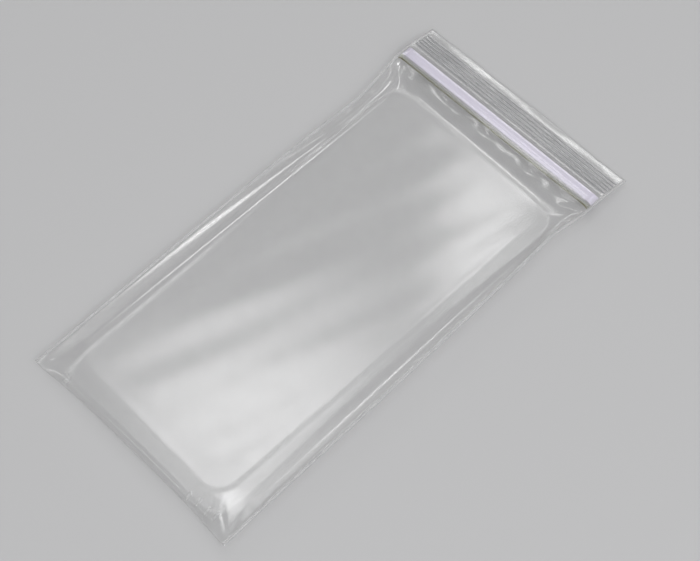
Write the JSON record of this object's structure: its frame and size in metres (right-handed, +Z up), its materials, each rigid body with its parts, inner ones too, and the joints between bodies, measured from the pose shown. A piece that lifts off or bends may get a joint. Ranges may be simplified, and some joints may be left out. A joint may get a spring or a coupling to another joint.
{
  "type": "zipper bag",
  "caption": "Clear film bag with a press-to-close zipper and ribbed lips, lying flat and closed, its pocket filled out.",
  "frame": {"origin": "under the middle of the bag's outline, on the surface that its back wall lies on", "axes": "+Z up from the back wall to the front wall, +Y from the bottom fold to the mouth, +X across to the right weld"},
  "size_m": [0.094, 0.19, 0.0077],
  "materials": {
    "clear_film": "clear glossy polyethylene film",
    "zipper_plastic": "milky extruded polyethylene"
  },
  "bodies": {
    "root": {"film_pouch": "clear_film", "zipper_rib_strip": "zipper_plastic", "zipper_groove_strip": "zipper_plastic"}
  },
  "joints": []
}
